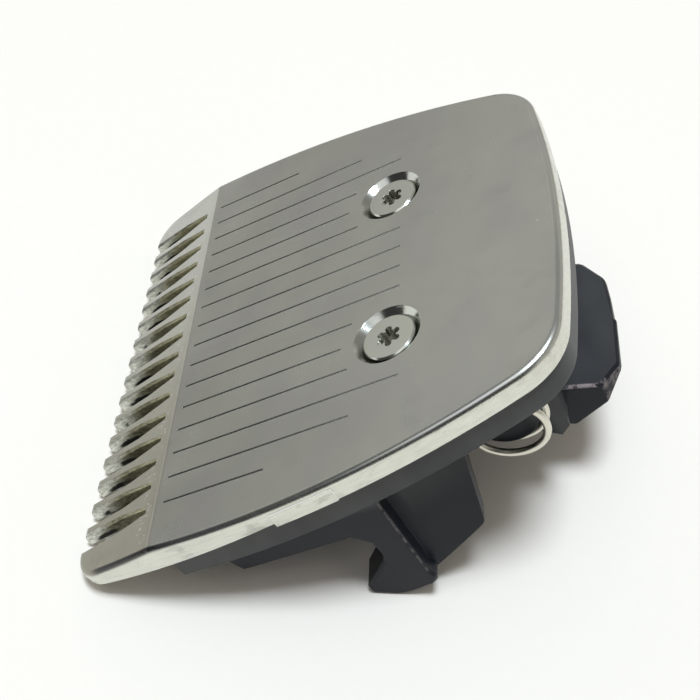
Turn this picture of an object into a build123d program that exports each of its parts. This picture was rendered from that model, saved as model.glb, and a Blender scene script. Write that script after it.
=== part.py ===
from build123d import *

import os
from math import cos, radians, sin, sqrt, tan

# Clip-on hair clipper cutting head, in millimetres, lying on its front corners and hook feet.
# Blade coordinates: x across, y back from a datum near the tooth tips, z up from the guard's flat top.

# Guard plate: plan outline
PLATE_WIDTH = 42.8
PLATE_REAR_Y = 40.4
WIDEST_Y = 10.6
SIDE_RADIUS = 70.0
REAR_RADIUS = 88.0
FRONT_CORNER_RADIUS = 2.8
REAR_CORNER_RADIUS = 5.4

# Guard plate: pressed sheet, bent toothed strip, rounded rim and the stubs of its carrier tabs
SHEET = 1.0
RIM_HEIGHT = 1.75
RIM_RADIUS = 0.5
SKIRT_WALL = 1.0
SKIRT_KNEE_Y = 18.0
SKIRT_ANGLE = 3.8
BEND_Y = 7.7
STRIP_LENGTH = 8.15
STRIP_ANGLE = 11.0
BEND_RADIUS = 1.0
TAB_LENGTH = 4.8
TAB_Y = 19.9
TAB_PROUD = 0.12
TAB_TOP_Z = -0.5

# Guard teeth: drafted slots that narrow to their roots, with bevelled upper edges
TOOTH_PITCH = 2.3
SLOT_COUNT = 16
SLOT_ROOT_SETBACK = 1.0
SLOT_SHOULDER_SETBACK = 4.0
SLOT_ROOT_WIDTH = 0.4
SLOT_SHOULDER_WIDTH = 1.3
SLOT_MOUTH_WIDTH = 1.6
SLOT_DRAFT = 6.0
BEVEL_ROOT = 0.12
BEVEL_TIP = 0.2
BEVEL_DEPTH = 0.25
BEVEL_ANGLE = 45.0
TIP_CHAMFER = 0.3

# Engraved lines behind the slots
LINE_WIDTH = 0.18
LINE_DEPTH = 0.08
LINE_START = 0.7
LINE_END_Y = 27.6
LINE_OUTER_ENDS = (17.0, 23.7)
LINE_SCREW_MARGIN = 1.1

# Screws and their conical dimples
SCREW_X = 8.2
SCREW_Y = 26.6
DIMPLE_RADIUS = 2.75
DIMPLE_WALL = 0.6
HEAD_RADIUS = 2.15
HEAD_SINK = 0.25
HEAD_CHAMFER = 0.12
HEAD_GAP = 0.03
SHANK_RADIUS = 1.25
SHANK_GAP = 0.05
SHANK_LENGTH = 5.2
STAR_RADIUS = 0.72
STAR_LOBE_RADIUS = 0.29
STAR_LOBE_SIDES = 8
STAR_DEPTH = 0.8

# Moving cutter
CUTTER_GAP = 0.03
CUTTER_SHEET = 0.8
CUTTER_TEETH = 20
CUTTER_PITCH = 1.66
CUTTER_TIP_Y = 1.0
CUTTER_GULLET_DEPTH = 4.4
CUTTER_GULLET_MOUTH = 1.0
CUTTER_GULLET_ROOT = 0.55
CUTTER_REAR_Y = 15.2
STROKE = 0.9

# Drive bridge, staked to the cutter
BRIDGE_WIDTH = 34.0
BRIDGE_FRONT_Y = 9.2
BRIDGE_REAR_Y = 16.2
BRIDGE_THICKNESS = 2.5
BRIDGE_POCKET_WALL = 1.1
BRIDGE_POCKET_DEPTH = 1.3
BRIDGE_POCKET_LENGTH = 7.5
STAKE_X = 6.6
STAKE_Y = 12.2
STAKE_RADIUS = 1.3
STAKE_GAP = 0.05
FORK_SLOT = 4.6
FORK_PRONG = 1.9
FORK_LENGTH = 4.2
FORK_REACH = 4.6
FORK_SLOT_RISE = 1.2

# Holder: flange, land and window
FLANGE_INSET = 0.35
FLANGE_THICKNESS = 2.2
FLANGE_FRONT_Y = 8.2
LAND_GAP = 0.15
FLANGE_ARM = 1.95
WINDOW_GAP = 0.12
BOSS_RADIUS = 2.3
BOSS_LENGTH = 2.4

# Holder: side rails, hook legs and wings
RAIL_FRONT_Y = 10.1
RAIL_DROP = 3.1
RUN_GAP = 0.3
LEG_INSET = 1.7
LEG_WALL = 2.6
LEG_FRONT_Y = 20.2
LEG_REAR_Y = 24.0
LEG_REAR_LEAN = 0.6
HOOK_Y = 21.25
HOOK_TOP_Z = -8.2
HOOK_BOTTOM_Z = -10.2
HOOK_RADIUS = 1.5
TOE_Y = 18.35
TOE_HEIGHT = 0.8
SOLE_LENGTH = 2.4
SOLE_RADIUS = 2.5
ANKLE_Z = -13.0
HEEL_REACH = 0.5
HEEL_DROP = 1.6
HEEL_RADIUS = 0.9
MOULD_EDGE = 0.2
WING_INSET = 1.8
WING_WALL = 1.4
WING_TOP_Y = 30.3
WING_TAIL_Y = 28.3
WING_TAIL_Z = -12.4
WING_LOW_Z = -14.4

# Holder: rear ribs, web and lug
LUG_WIDTH = 14.36
LUG_REACH = 7.5
LUG_BOW = 0.3
LUG_CREST_Z = -11.7
LUG_NOSE_DROP = 2.1
LUG_NOSE_HEIGHT = 0.6
LUG_CHIN_SETBACK = 5.1
LUG_CHIN_DROP = 5.0
LUG_CHIN_LENGTH = 1.0
LUG_CORNER_X = 2.2
LUG_CORNER_Y = 1.9
NOSE_STEP = 0.15
WEB_FRONT_Y = 32.4
WEB_WALL = 1.8
RIB_WALL = 2.4
RIB_FRONT_Y = 29.8
RIB_REAR_Y = 36.2
RIB_TIP_Y = 34.2
RIB_TIP_Z = -14.5
RIB_HEEL_Y = 35.1
RIB_HEEL_Z = -13.7

# Torsion springs on their pegs
WIRE_DIAMETER = 0.6
WIRE_SIDES = 6
COIL_RADIUS = 2.9
COIL_PITCH = 1.5
COIL_HALF_TURNS = 3
COIL_INNER_X = 11.6
COIL_Y = 32.3
ARM_LENGTH = 18.5
ARM_GAP = 0.1
ANCHOR_GAP = 0.06
PEG_GAP = 0.25
PEG_LENGTH = 3.2

# Angle of the guard's flat top above the table
REST_TILT = 30.0

# Heights that follow from the stack
tilt = radians(REST_TILT)
slope = tan(radians(STRIP_ANGLE))
skirt_slope = tan(radians(SKIRT_ANGLE))
front_y = BEND_Y - STRIP_LENGTH
tip_drop = STRIP_LENGTH * slope
cutter_top = -SHEET - CUTTER_GAP
cutter_bottom = cutter_top - CUTTER_SHEET
bridge_bottom = cutter_bottom - BRIDGE_THICKNESS
flange_bottom = -RIM_HEIGHT - FLANGE_THICKNESS
coil_z = bridge_bottom - ARM_GAP - WIRE_DIAMETER / 2 - COIL_RADIUS
window_rear_y = BRIDGE_REAR_Y + WINDOW_GAP
side_shift = SIDE_RADIUS - PLATE_WIDTH / 2
leg_outer_x = PLATE_WIDTH / 2 - LEG_INSET
ankle_y = LEG_REAR_Y - LEG_REAR_LEAN
rail_inner_x = BRIDGE_WIDTH / 2 + STROKE + RUN_GAP
window_width = PLATE_WIDTH - 2 * (FLANGE_INSET + FLANGE_ARM)
last_slot_x = (SLOT_COUNT - 1) / 2 * TOOTH_PITCH
lug_nose_y = WEB_FRONT_Y + LUG_REACH
lug_nose_z = LUG_CREST_Z - LUG_NOSE_DROP
lug_chin_y = lug_nose_y - LUG_CHIN_SETBACK
lug_chin_z = LUG_CREST_Z - LUG_CHIN_DROP

# Lowest point of the front corners, where the skirt meets the table
corner_y = front_y + FRONT_CORNER_RADIUS
corner_x = sqrt((SIDE_RADIUS - FRONT_CORNER_RADIUS) ** 2 - (WIDEST_Y - corner_y) ** 2) - side_shift
corner_reach = max(last_slot_x + SLOT_MOUTH_WIDTH / 2 - corner_x, 0)
contact_y = corner_y - sqrt(FRONT_CORNER_RADIUS**2 - corner_reach**2)
contact_z = -RIM_HEIGHT - (SKIRT_KNEE_Y - contact_y) * skirt_slope

# Place of the blade coordinates above the table, with the part centred front to back
front_reach = front_y * cos(tilt) + tip_drop * sin(tilt) + RIM_RADIUS * (cos(tilt) + sin(tilt) - 1)
rear_reach = lug_nose_y * cos(tilt) - lug_nose_z * sin(tilt)
blade_height = -contact_y * sin(tilt) - contact_z * cos(tilt)
BLADE = Plane((0, -(front_reach + rear_reach) / 2, blade_height), (1, 0, 0), (0, -sin(tilt), cos(tilt)))
SIDE = Plane(BLADE.origin, BLADE.y_dir, (1, 0, 0))
strip_tilt = radians(REST_TILT + STRIP_ANGLE)
STRIP = Plane(BLADE.from_local_coords((0, BEND_Y, 0)), (1, 0, 0), (0, -sin(strip_tilt), cos(strip_tilt)))


def table_z(y):
    """Height of the table in blade coordinates."""
    return -blade_height / cos(tilt) - y * tan(tilt)


def plate_outline(inset):
    """Draw the guard's plan outline in the current sketch, drawn in by inset."""
    with Locations((-side_shift, WIDEST_Y)):
        Circle(SIDE_RADIUS - inset)
    with Locations((side_shift, WIDEST_Y)):
        Circle(SIDE_RADIUS - inset, mode=Mode.INTERSECT)
    with Locations((0, PLATE_REAR_Y - REAR_RADIUS)):
        Circle(REAR_RADIUS - inset, mode=Mode.INTERSECT)
    with Locations((0, front_y + inset)):
        Rectangle(2 * PLATE_WIDTH, 2 * PLATE_REAR_Y, align=(Align.CENTER, Align.MIN), mode=Mode.INTERSECT)
    if inset < FRONT_CORNER_RADIUS:
        fillet(vertices().sort_by(Axis.Y)[:2], FRONT_CORNER_RADIUS - inset)
    if inset < REAR_CORNER_RADIUS:
        fillet(vertices().sort_by(Axis.Y)[-2:], REAR_CORNER_RADIUS - inset)


def front_cut(y, width):
    """Take away what the current sketch has in front of y, over a width."""
    with Locations((0, y)):
        Rectangle(width, 2 * PLATE_REAR_Y, align=(Align.CENTER, Align.MAX), mode=Mode.SUBTRACT)


def sheet_section(top, bottom, start_y, end_y):
    """Draw a sheet's side section in the current sketch, bent down in front like the guard."""
    drop = (BEND_Y - start_y) * slope
    Polygon(
        (start_y, top - drop),
        (BEND_Y, top),
        (end_y, top),
        (end_y, bottom),
        (BEND_Y, bottom),
        (start_y, bottom - drop),
        align=None,
    )


def rim_section(top, mode):
    """Draw what lies between a level and the skirt's lower edge in the current sketch, side on."""
    Polygon(
        (before_tips, top),
        (past_end, top),
        (past_end, -RIM_HEIGHT),
        (SKIRT_KNEE_Y, -RIM_HEIGHT),
        (before_tips, -RIM_HEIGHT - (SKIRT_KNEE_Y - before_tips) * skirt_slope),
        align=None,
        mode=mode,
    )


def slot_outline(root_margin, tip_margin):
    """Draw one slot's outline in the current sketch, widened at its root and its mouth."""
    root = SLOT_ROOT_WIDTH / 2 + root_margin
    shoulder = SLOT_SHOULDER_WIDTH / 2 + (root_margin + tip_margin) / 2
    mouth = SLOT_MOUTH_WIDTH / 2 + tip_margin
    Polygon(
        (-root, -SLOT_ROOT_SETBACK),
        (-shoulder, -SLOT_SHOULDER_SETBACK),
        (-mouth, before_tips - STRIP_LENGTH),
        (mouth, before_tips - STRIP_LENGTH),
        (shoulder, -SLOT_SHOULDER_SETBACK),
        (root, -SLOT_ROOT_SETBACK),
        align=None,
    )


def line_end(x):
    """End of the engraved line at x: the outer ones are short, and some stop before a screw dimple."""
    from_edge = round((last_slot_x - abs(x)) / TOOTH_PITCH)
    if from_edge < len(LINE_OUTER_ENDS):
        return LINE_OUTER_ENDS[from_edge]
    keep_clear = DIMPLE_RADIUS + LINE_SCREW_MARGIN
    aside = abs(abs(x) - SCREW_X)
    if aside < keep_clear - LINE_SCREW_MARGIN / 2:
        return SCREW_Y - sqrt(keep_clear**2 - aside**2)
    return LINE_END_Y


slot_xs = [(k - (SLOT_COUNT - 1) / 2) * TOOTH_PITCH for k in range(SLOT_COUNT)]
screw_spots = [(-SCREW_X, SCREW_Y), (SCREW_X, SCREW_Y)]
past_end = PLATE_REAR_Y + RIM_HEIGHT
before_tips = front_y - RIM_HEIGHT

# Hollow under the guard's sheet, open in front between the corner teeth
with BuildPart() as guard_hollow:
    with BuildSketch(BLADE):
        plate_outline(SKIRT_WALL)
        with Locations((0, before_tips)):
            Rectangle(2 * last_slot_x, STRIP_LENGTH, align=(Align.CENTER, Align.MIN))
    extrude(amount=PLATE_REAR_Y, both=True)
    with BuildSketch(SIDE):
        sheet_section(-SHEET, -PLATE_REAR_Y, before_tips, past_end)
    extrude(amount=PLATE_WIDTH, both=True, mode=Mode.INTERSECT)

# Drafted tool that cuts one slot between the guard's teeth
with BuildPart() as slot_tool:
    with BuildSketch(STRIP):
        slot_outline(0, 0)
    extrude(amount=-RIM_HEIGHT)
    draft(faces().filter_by(Axis(STRIP.origin, STRIP.z_dir), reverse=True), STRIP, -SLOT_DRAFT)

# Shallow tool that bevels a slot's upper edges, more towards the tips
with BuildPart() as bevel_tool:
    with BuildSketch(STRIP):
        slot_outline(BEVEL_ROOT, BEVEL_TIP)
    extrude(amount=-BEVEL_DEPTH)
    draft(faces().filter_by(Axis(STRIP.origin, STRIP.z_dir), reverse=True), STRIP, -BEVEL_ANGLE)

# Guard plate
with BuildPart() as guard_plate:
    with BuildSketch(BLADE):
        plate_outline(0)
    extrude(amount=PLATE_REAR_Y, both=True)
    with BuildSketch(SIDE):
        sheet_section(0, -PLATE_REAR_Y, before_tips, past_end)
        fillet(vertices().group_by(Axis.Y)[-1].sort_by(Axis.X)[0], BEND_RADIUS)
        rim_section(RIM_HEIGHT, Mode.INTERSECT)
    extrude(amount=PLATE_WIDTH, both=True, mode=Mode.INTERSECT)
    upward = cos(radians(2 * STRIP_ANGLE))
    crown = faces().filter_by(lambda face: face.normal_at().dot(BLADE.z_dir) > upward)
    crown_edges = [edge for face in crown for edge in face.edges()]
    fillet([edge for edge in crown_edges if crown_edges.count(edge) == 1], RIM_RADIUS)
    with BuildSketch(BLADE.offset(-RIM_HEIGHT)):
        plate_outline(-TAB_PROUD)
        with Locations((0, TAB_Y)):
            Rectangle(2 * PLATE_WIDTH, TAB_LENGTH, mode=Mode.INTERSECT)
    extrude(amount=RIM_HEIGHT + TAB_TOP_Z)
    add(guard_hollow.part, mode=Mode.SUBTRACT)
    tip_edges = edges().filter_by(Axis.X).group_by(Axis(BLADE.origin, BLADE.y_dir))[0]
    chamfer(tip_edges.sort_by(Axis(BLADE.origin, BLADE.z_dir))[0], TIP_CHAMFER)
    with BuildSketch(BLADE.offset(-RIM_HEIGHT)):
        with Locations(*screw_spots):
            Circle(DIMPLE_RADIUS + DIMPLE_WALL)
    extrude(amount=RIM_HEIGHT - SHEET / 2)
    with BuildSketch(BLADE):
        with Locations(*screw_spots):
            Circle(DIMPLE_RADIUS)
    extrude(amount=-(DIMPLE_RADIUS - SHANK_RADIUS - SHANK_GAP), taper=45, mode=Mode.SUBTRACT)
    with BuildSketch(BLADE):
        with Locations(*screw_spots):
            Circle(SHANK_RADIUS + SHANK_GAP)
    extrude(amount=-PLATE_REAR_Y, mode=Mode.SUBTRACT)
    with Locations(*[(x, 0, 0) for x in slot_xs]):
        add(slot_tool.part, mode=Mode.SUBTRACT)
        add(bevel_tool.part, mode=Mode.SUBTRACT)
    with BuildSketch(BLADE):
        for x in slot_xs:
            start = BEND_Y + LINE_START
            with Locations((x, start)):
                Rectangle(LINE_WIDTH, line_end(x) - start, align=(Align.CENTER, Align.MIN))
    extrude(amount=-LINE_DEPTH, mode=Mode.SUBTRACT)

# Moving cutter
with BuildPart() as moving_cutter:
    with BuildSketch(SIDE):
        sheet_section(cutter_top, cutter_bottom, CUTTER_TIP_Y, CUTTER_REAR_Y)
    extrude(amount=CUTTER_TEETH * CUTTER_PITCH / 2, both=True)
    tip_y = (CUTTER_TIP_Y - BEND_Y) / cos(radians(STRIP_ANGLE))
    with BuildSketch(STRIP):
        for k in range(CUTTER_TEETH - 1):
            x = (k - (CUTTER_TEETH - 2) / 2) * CUTTER_PITCH
            with BuildLine():
                Polyline(
                    (x - CUTTER_GULLET_ROOT / 2, tip_y + CUTTER_GULLET_DEPTH),
                    (x - CUTTER_GULLET_MOUTH / 2, tip_y - CUTTER_SHEET),
                    (x + CUTTER_GULLET_MOUTH / 2, tip_y - CUTTER_SHEET),
                    (x + CUTTER_GULLET_ROOT / 2, tip_y + CUTTER_GULLET_DEPTH),
                    close=True,
                )
            make_face()
    extrude(amount=-2 * (SHEET + CUTTER_SHEET), mode=Mode.SUBTRACT)
    with BuildSketch(BLADE):
        with Locations((-STAKE_X, STAKE_Y), (STAKE_X, STAKE_Y)):
            Circle(STAKE_RADIUS + STAKE_GAP)
    extrude(amount=-2 * (SHEET + CUTTER_SHEET), mode=Mode.SUBTRACT)

# Drive bridge
with BuildPart() as drive_bridge:
    bridge_length = BRIDGE_REAR_Y - BRIDGE_FRONT_Y
    bridge_mid_y = (BRIDGE_REAR_Y + BRIDGE_FRONT_Y) / 2
    with BuildSketch(BLADE.offset(cutter_bottom)):
        with Locations((0, bridge_mid_y)):
            Rectangle(BRIDGE_WIDTH, bridge_length)
        chamfer(vertices(), BRIDGE_POCKET_WALL)
    extrude(amount=-BRIDGE_THICKNESS)
    with BuildSketch(BLADE.offset(bridge_bottom)):
        pocket_x = FORK_SLOT / 2 + FORK_PRONG + BRIDGE_POCKET_LENGTH / 2
        with Locations((-pocket_x, bridge_mid_y), (pocket_x, bridge_mid_y)):
            Rectangle(BRIDGE_POCKET_LENGTH, bridge_length - 2 * BRIDGE_POCKET_WALL)
    extrude(amount=BRIDGE_POCKET_DEPTH, mode=Mode.SUBTRACT)
    with BuildSketch(BLADE.offset(bridge_bottom)):
        with Locations((0, BRIDGE_REAR_Y)):
            Rectangle(FORK_SLOT + 2 * FORK_PRONG, FORK_LENGTH, align=(Align.CENTER, Align.MAX))
    extrude(amount=-FORK_REACH)
    with BuildSketch(BLADE.offset(bridge_bottom + FORK_SLOT_RISE)):
        with Locations((0, BRIDGE_REAR_Y)):
            Rectangle(FORK_SLOT, 2 * bridge_length)
    extrude(amount=-FORK_REACH - 2 * FORK_SLOT_RISE, mode=Mode.SUBTRACT)
    with BuildSketch(BLADE.offset(cutter_bottom)):
        with Locations((-STAKE_X, STAKE_Y), (STAKE_X, STAKE_Y)):
            Circle(STAKE_RADIUS)
    extrude(amount=CUTTER_SHEET)

# One side wing, its outer face following the plate's outline
with BuildPart() as wing:
    with BuildSketch(BLADE):
        plate_outline(WING_INSET)
    extrude(amount=-PLATE_REAR_Y)
    with BuildSketch(BLADE):
        plate_outline(WING_INSET + WING_WALL)
    extrude(amount=-PLATE_REAR_Y, mode=Mode.SUBTRACT)
    with BuildSketch(SIDE):
        with BuildLine():
            Polyline(
                (LEG_REAR_Y - LEG_WALL, flange_bottom),
                (LEG_REAR_Y - LEG_WALL, WING_LOW_Z),
                (ankle_y, WING_LOW_Z),
                (WING_TAIL_Y, WING_TAIL_Z),
                (WING_TOP_Y, flange_bottom),
                close=True,
            )
        make_face()
        fillet(vertices().sort_by(Axis.X)[-2], WING_WALL / 2)
    extrude(amount=PLATE_WIDTH, mode=Mode.INTERSECT)

# One side rail and hook leg, rooted in the flange
with BuildPart() as hook_leg:
    root_z = flange_bottom + FLANGE_THICKNESS / 2
    rail_z = flange_bottom - RAIL_DROP
    with BuildSketch(SIDE.offset(leg_outer_x)):
        with BuildLine():
            Polyline(
                (RAIL_FRONT_Y, root_z),
                (RAIL_FRONT_Y, flange_bottom),
                (RAIL_FRONT_Y + RAIL_DROP / 3, rail_z),
                (LEG_FRONT_Y, rail_z),
                (LEG_FRONT_Y, root_z),
                close=True,
            )
        make_face()
    extrude(amount=rail_inner_x - leg_outer_x)
    sole_end_y = TOE_Y + SOLE_LENGTH * cos(tilt)
    with BuildSketch(SIDE.offset(leg_outer_x)):
        with BuildLine():
            Polyline(
                (LEG_FRONT_Y, root_z),
                (LEG_FRONT_Y, rail_z),
                (HOOK_Y, HOOK_TOP_Z),
                (HOOK_Y, HOOK_BOTTOM_Z),
                (TOE_Y, table_z(TOE_Y) + TOE_HEIGHT),
                (TOE_Y, table_z(TOE_Y)),
                (sole_end_y, table_z(sole_end_y)),
                (ankle_y + HEEL_REACH, ANKLE_Z - HEEL_DROP),
                (ankle_y, ANKLE_Z),
                (LEG_REAR_Y, root_z),
                close=True,
            )
        make_face()
        fillet(vertices().sort_by_distance((HOOK_Y, HOOK_BOTTOM_Z))[0], HOOK_RADIUS)
        fillet(vertices().sort_by_distance((sole_end_y, table_z(sole_end_y)))[0], SOLE_RADIUS)
        fillet(vertices().sort_by_distance((ankle_y + HEEL_REACH, ANKLE_Z - HEEL_DROP))[0], HEEL_RADIUS)
    extrude(amount=-LEG_WALL)
    chamfer(faces().sort_by(Axis.X)[-1].edges(), MOULD_EDGE)

# One rear rib with its spring peg
with BuildPart() as rear_rib:
    with BuildSketch(SIDE.offset(LUG_WIDTH / 2)):
        with BuildLine():
            Polyline(
                (RIB_FRONT_Y, flange_bottom),
                (RIB_FRONT_Y, coil_z - COIL_RADIUS),
                (RIB_TIP_Y, RIB_TIP_Z),
                (RIB_HEEL_Y, RIB_HEEL_Z),
                (RIB_REAR_Y, flange_bottom),
                close=True,
            )
        make_face()
    extrude(amount=RIB_WALL)
    with BuildSketch(SIDE.offset(LUG_WIDTH / 2 + RIB_WALL)):
        with Locations((COIL_Y, coil_z)):
            Circle(COIL_RADIUS - WIRE_DIAMETER / 2 - PEG_GAP)
    extrude(amount=PEG_LENGTH)

# Rear lug, its nose bowed and with a small step in the middle
with BuildPart() as lug:
    with BuildSketch(SIDE):
        with BuildLine():
            Polyline(
                (WEB_FRONT_Y, LUG_CREST_Z),
                (lug_chin_y - LUG_CHIN_LENGTH, lug_chin_z + LUG_NOSE_HEIGHT),
                (lug_chin_y, lug_chin_z),
                (lug_nose_y, lug_nose_z - LUG_NOSE_HEIGHT),
                (lug_nose_y, lug_nose_z),
                (WEB_FRONT_Y + WEB_WALL, LUG_CREST_Z),
                close=True,
            )
        make_face()
    extrude(amount=LUG_WIDTH / 2, both=True)
    with BuildSketch(BLADE):
        for corner in (-LUG_WIDTH / 2, LUG_WIDTH / 2):
            inner = corner * (1 - 2 * LUG_CORNER_X / LUG_WIDTH)
            with BuildLine():
                Polyline(
                    (corner, lug_nose_y - LUG_CORNER_Y),
                    (corner, lug_nose_y),
                    (0, lug_nose_y),
                    (inner, lug_nose_y - LUG_BOW),
                    close=True,
                )
            make_face()
    extrude(amount=-PLATE_REAR_Y, mode=Mode.SUBTRACT)
    chamfer(edges(), MOULD_EDGE)
    with BuildSketch(BLADE):
        with Locations((0, lug_nose_y)):
            Rectangle(LUG_WIDTH, NOSE_STEP, align=(Align.MAX, Align.MAX))
    extrude(amount=-PLATE_REAR_Y, mode=Mode.SUBTRACT)

# Blade holder
with BuildPart() as blade_holder:
    with BuildSketch(BLADE.offset(flange_bottom)):
        plate_outline(FLANGE_INSET)
        front_cut(FLANGE_FRONT_Y, PLATE_WIDTH)
        front_cut(window_rear_y, window_width)
    extrude(amount=FLANGE_THICKNESS)
    with BuildSketch(SIDE):
        rim_section(RIM_HEIGHT, Mode.ADD)
    extrude(amount=PLATE_WIDTH, both=True, mode=Mode.SUBTRACT)
    with BuildSketch(BLADE.offset(flange_bottom)):
        plate_outline(SKIRT_WALL + LAND_GAP)
        front_cut(window_rear_y, PLATE_WIDTH)
    extrude(amount=-SHEET - flange_bottom)
    with BuildSketch(BLADE.offset(-RIM_HEIGHT)):
        with Locations(*screw_spots):
            Circle(DIMPLE_RADIUS + DIMPLE_WALL + LAND_GAP)
    extrude(amount=RIM_HEIGHT, mode=Mode.SUBTRACT)
    with BuildSketch(BLADE.offset(flange_bottom)):
        with Locations(*screw_spots):
            Circle(BOSS_RADIUS)
    extrude(amount=-BOSS_LENGTH)
    with BuildSketch(BLADE):
        with Locations(*screw_spots):
            Circle(SHANK_RADIUS + SHANK_GAP)
    extrude(amount=flange_bottom - BOSS_LENGTH, mode=Mode.SUBTRACT)
    with BuildSketch(BLADE.offset(flange_bottom)):
        with Locations((0, WEB_FRONT_Y)):
            Rectangle(LUG_WIDTH, WEB_WALL, align=(Align.CENTER, Align.MIN))
    extrude(amount=LUG_CREST_Z - LUG_NOSE_HEIGHT - flange_bottom)
    add(lug.part)
    for half in (wing.part, hook_leg.part, rear_rib.part):
        add(half)
        add(half.mirror(SIDE))

# Guard screws: two countersunk heads with star sockets
with BuildPart() as guard_screws:
    seat_z = HEAD_RADIUS + HEAD_GAP - DIMPLE_RADIUS
    for x, y in screw_spots:
        with BuildSketch(SIDE.offset(x)):
            with BuildLine():
                Polyline(
                    (y, -HEAD_SINK),
                    (y + HEAD_RADIUS - HEAD_CHAMFER, -HEAD_SINK),
                    (y + HEAD_RADIUS, -HEAD_SINK - HEAD_CHAMFER),
                    (y + HEAD_RADIUS, seat_z),
                    (y + SHANK_RADIUS, seat_z - HEAD_RADIUS + SHANK_RADIUS),
                    (y + SHANK_RADIUS, -HEAD_SINK - SHANK_LENGTH),
                    (y, -HEAD_SINK - SHANK_LENGTH),
                    close=True,
                )
            make_face()
        revolve(axis=Axis(BLADE.from_local_coords((x, y, 0)), BLADE.z_dir))
    with BuildSketch(BLADE):
        with Locations(*screw_spots):
            RegularPolygon(STAR_RADIUS, 6)
            with PolarLocations(STAR_RADIUS, 6):
                RegularPolygon(STAR_LOBE_RADIUS, STAR_LOBE_SIDES)
    extrude(amount=-HEAD_SINK - STAR_DEPTH, mode=Mode.SUBTRACT)

# Right torsion spring: anchor arm up to the flange, leaning half turns, last quarter turn, pressing arm
with BuildPart() as spring_right:
    coil_y_ends = (COIL_Y - COIL_RADIUS, COIL_Y + COIL_RADIUS)
    for k in range(COIL_HALF_TURNS):
        start_x = COIL_INNER_X + k * COIL_PITCH / 2
        lean = COIL_PITCH / 2 if k % 2 else -COIL_PITCH / 2
        centre = BLADE.from_local_coords((start_x + COIL_PITCH / 4, COIL_Y, coil_z))
        with BuildSketch(BLADE.offset(coil_z)):
            with Locations((start_x, coil_y_ends[k % 2])):
                RegularPolygon(WIRE_DIAMETER / 2, WIRE_SIDES)
        revolve(axis=Axis(centre, BLADE.x_dir * 2 * COIL_RADIUS + BLADE.y_dir * lean), revolution_arc=180)
    arm_x = COIL_INNER_X + COIL_HALF_TURNS * COIL_PITCH / 2
    centre = BLADE.from_local_coords((arm_x, COIL_Y, coil_z))
    with BuildSketch(BLADE.offset(coil_z)):
        with Locations((arm_x, coil_y_ends[COIL_HALF_TURNS % 2])):
            RegularPolygon(WIRE_DIAMETER / 2, WIRE_SIDES)
    revolve(axis=Axis(centre, BLADE.x_dir), revolution_arc=90)
    with BuildSketch(Plane(centre + BLADE.z_dir * COIL_RADIUS, (1, 0, 0), -BLADE.y_dir)):
        RegularPolygon(WIRE_DIAMETER / 2, WIRE_SIDES)
    extrude(amount=ARM_LENGTH)
    with BuildSketch(BLADE.offset(coil_z)):
        with Locations((COIL_INNER_X, coil_y_ends[0])):
            RegularPolygon(WIRE_DIAMETER / 2, WIRE_SIDES)
    extrude(amount=flange_bottom - ANCHOR_GAP - coil_z)

# Left torsion spring
with BuildPart() as spring_left:
    add(spring_right.part.mirror(SIDE))

os.makedirs("parts", exist_ok=True)
guard_plate.part.label = "guard_plate"
export_step(guard_plate.part, "parts/guard_plate.step")
guard_screws.part.label = "guard_screws"
export_step(guard_screws.part, "parts/guard_screws.step")
blade_holder.part.label = "blade_holder"
export_step(blade_holder.part, "parts/blade_holder.step")
moving_cutter.part.label = "moving_cutter"
export_step(moving_cutter.part, "parts/moving_cutter.step")
drive_bridge.part.label = "drive_bridge"
export_step(drive_bridge.part, "parts/drive_bridge.step")
spring_right.part.label = "spring_right"
export_step(spring_right.part, "parts/spring_right.step")
spring_left.part.label = "spring_left"
export_step(spring_left.part, "parts/spring_left.step")
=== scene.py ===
"""Finishes, rim bead, springs, floor, light and camera for the clip-on hair clipper cutting head."""

from math import asin, atan2, cos, pi, radians, sin, tan
from typing import NamedTuple

import bpy
from bpy.props import FloatProperty, FloatVectorProperty, IntProperty, PointerProperty
from mathutils import Matrix, Quaternion, Vector


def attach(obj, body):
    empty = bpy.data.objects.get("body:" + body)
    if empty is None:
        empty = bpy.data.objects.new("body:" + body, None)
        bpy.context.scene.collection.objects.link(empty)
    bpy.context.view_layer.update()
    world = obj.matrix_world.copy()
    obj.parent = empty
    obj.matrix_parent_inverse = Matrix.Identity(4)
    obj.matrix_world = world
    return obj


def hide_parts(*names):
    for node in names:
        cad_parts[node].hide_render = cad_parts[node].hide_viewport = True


bl_info = {
    "name": "Clipper head",
    "version": (1, 0, 0),
    "blender": (4, 5, 0),
    "location": "3D View > Sidebar > Clipper head",
    "description": "Dresses the CAD model of a hair clipper cutting head",
    "category": "Object",
}

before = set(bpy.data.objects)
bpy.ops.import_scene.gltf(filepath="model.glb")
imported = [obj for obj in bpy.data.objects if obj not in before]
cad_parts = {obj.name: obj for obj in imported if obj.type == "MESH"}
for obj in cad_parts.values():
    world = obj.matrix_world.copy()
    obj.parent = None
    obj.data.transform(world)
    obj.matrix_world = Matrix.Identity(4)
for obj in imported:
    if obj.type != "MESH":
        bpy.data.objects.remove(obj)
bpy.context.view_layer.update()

# Metres: one millimetre, how level the screw heads' tops are, and how near two mesh corners are to be one
MM = 0.001
HEAD_FLATNESS = 0.00001
JOIN_DISTANCE = 0.000002

# Shading: the angle from which an edge stays sharp, and the samples of a rounded edge
SHARP_ANGLE = radians(32)
EDGE_SAMPLES = 6

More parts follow.
